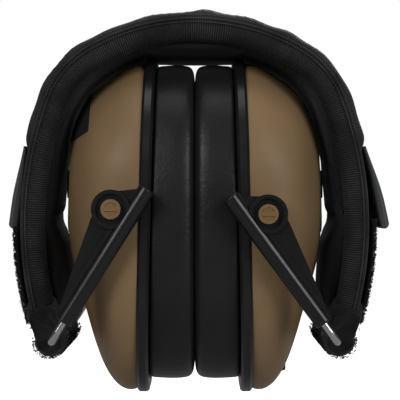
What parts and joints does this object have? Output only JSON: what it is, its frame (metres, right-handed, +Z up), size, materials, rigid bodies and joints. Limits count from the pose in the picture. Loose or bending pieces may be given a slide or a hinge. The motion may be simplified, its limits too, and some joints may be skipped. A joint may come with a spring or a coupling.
{
  "type": "folding electronic earmuff",
  "caption": "Folding over-head hearing protector: padded fabric headband, wire yokes with sliders, tan ear cups with soft cushions, shown folded.",
  "frame": {"origin": "on the ground, midway between the two cups and midway front to rear", "axes": "+X to the right cup, +Y to the rear, +Z up through the crown of the headband"},
  "size_m": [0.124, 0.098, 0.1227],
  "materials": {
    "shell_tan": "flat dark earth moulded plastic, fine satin texture",
    "pin_tan": "tan moulded pin cap with a worn satin face",
    "rim_black": "black semi-gloss moulded rim",
    "slider_black": "black satin moulded nylon",
    "plastic_black": "black satin plastic",
    "door_black": "charcoal satin plastic",
    "rubber_black": "black ribbed rubber",
    "cushion_skin": "soft black protein leather, fine grain, slight sheen",
    "band_fabric": "black coated nylon weave",
    "band_mesh": "black padded spacer mesh",
    "band_binding": "black grosgrain binding with fine ribs",
    "loop_pile": "black fuzzy loop pile",
    "patch_rubber": "charcoal soft rubber patch, blank",
    "cord_black": "black braided cord",
    "thread_black": "black stitching thread",
    "yoke_steel": "bright spring wire",
    "spring_steel": "spring steel strip",
    "screw_steel": "plated steel screw",
    "foam_grey": "open-cell charcoal foam",
    "speaker_metal": "black and zinc speaker and electronics cases",
    "battery_metal": "plain blank cell sleeve",
    "contact_metal": "nickel-plated contact",
    "board_green": "green circuit board"
  },
  "bodies": {
    "headband": {"crown_cover": "band_fabric", "crown_lining": "band_mesh", "crown_foam": "foam_grey", "crown_spring_wires": "spring_steel", "crown_pad": "band_mesh"},
    "arm_left": {"arm_cover_left": "band_fabric", "arm_lining_left": "band_mesh", "arm_foam_left": "foam_grey", "arm_spring_wires_left": "spring_steel", "side_pad_left": "band_mesh", "end_wrap_left": "loop_pile", "loop_panel_left": "loop_pile", "patch_left": "patch_rubber", "pull_loop_left": "cord_black"},
    "yoke_left": {"yoke_wire_left": "yoke_steel"},
    "sliders_left": {"slider_front_left": "slider_black", "slider_rear_left": "slider_black"},
    "cup_left": {"cup_shell_left": "shell_tan", "rim_plate_left": "rim_black", "cushion_backing_left": "plastic_black", "ear_cushion_left": "cushion_skin", "foam_liner_left": "foam_grey", "speaker_left": "speaker_metal", "face_panel_left": "plastic_black", "mic_grille_left": "rubber_black", "microphone_left": "speaker_metal", "pivot_pins_left": "pin_tan", "shell_screws_left": "screw_steel", "battery_door_left": "door_black", "batteries_left": "battery_metal", "battery_tray_left": "plastic_black", "battery_contacts_left": "contact_metal"},
    "arm_right": {"arm_cover_right": "band_fabric", "arm_lining_right": "band_mesh", "arm_foam_right": "foam_grey", "arm_spring_wires_right": "spring_steel", "side_pad_right": "band_mesh", "end_wrap_right": "loop_pile", "loop_panel_right": "loop_pile", "patch_right": "patch_rubber", "pull_loop_right": "cord_black"},
    "yoke_right": {"yoke_wire_right": "yoke_steel"},
    "sliders_right": {"slider_front_right": "slider_black", "slider_rear_right": "slider_black"},
    "cup_right": {"cup_shell_right": "shell_tan", "rim_plate_right": "rim_black", "cushion_backing_right": "plastic_black", "ear_cushion_right": "cushion_skin", "foam_liner_right": "foam_grey", "speaker_right": "speaker_metal", "face_panel_right": "plastic_black", "mic_grille_right": "rubber_black", "microphone_right": "speaker_metal", "pivot_pins_right": "pin_tan", "shell_screws_right": "screw_steel", "potentiometer_right": "speaker_metal", "circuit_board_right": "board_green", "aux_jack_right": "contact_metal"},
    "volume_knob": {"volume_knob_right": "rubber_black"}
  },
  "joints": [
    {"name": "flex_left", "type": "hinge", "parent": "headband", "child": "arm_left", "pos_m": [-0.0251, 0, 0.12097], "axis": [0, 1, 0], "range_deg": [0, 38]},
    {"name": "fold_left", "type": "hinge", "parent": "arm_left", "child": "yoke_left", "pos_m": [-0.0435, 0, 0.0188], "axis": [0, 1, 0], "range_deg": [0, 109.85]},
    {"name": "height_left", "type": "slide", "parent": "yoke_left", "child": "sliders_left", "axis": [0.5321, 0, 0.8467], "range_m": [0, 0.012]},
    {"name": "tilt_left", "type": "hinge", "parent": "sliders_left", "child": "cup_left", "pos_m": [-0.02517, 0, 0.05925], "axis": [0, -1, 0], "range_deg": [0, 147.85], "deforming": ["ear_cushion_left"]},
    {"name": "flex_right", "type": "hinge", "parent": "headband", "child": "arm_right", "pos_m": [0.0251, 0, 0.12097], "axis": [0, -1, 0], "range_deg": [0, 38]},
    {"name": "fold_right", "type": "hinge", "parent": "arm_right", "child": "yoke_right", "pos_m": [0.0435, 0, 0.0188], "axis": [0, -1, 0], "range_deg": [0, 105.6]},
    {"name": "height_right", "type": "slide", "parent": "yoke_right", "child": "sliders_right", "axis": [-0.5934, 0, 0.8049], "range_m": [0, 0.012]},
    {"name": "tilt_right", "type": "hinge", "parent": "sliders_right", "child": "cup_right", "pos_m": [0.02222, 0, 0.05778], "axis": [0, 1, 0], "range_deg": [0, 143.6], "deforming": ["ear_cushion_right"]},
    {"name": "volume_turn", "type": "hinge", "parent": "cup_right", "child": "volume_knob", "pos_m": [0.027, 0.0409, 0.031], "axis": [0, 1, 0], "range_deg": [0, 270]}
  ],
  "couplings": [
    {"joint": "flex_left", "follows": "fold_left", "ratio": 0.34593},
    {"joint": "tilt_left", "follows": "fold_left", "ratio": 1.3459},
    {"joint": "height_left", "follows": "fold_left", "m_per_rad": 0.006259},
    {"joint": "flex_right", "follows": "fold_right", "ratio": 0.35985},
    {"joint": "tilt_right", "follows": "fold_right", "ratio": 1.3598},
    {"joint": "height_right", "follows": "fold_right", "m_per_rad": 0.0065109}
  ]
}
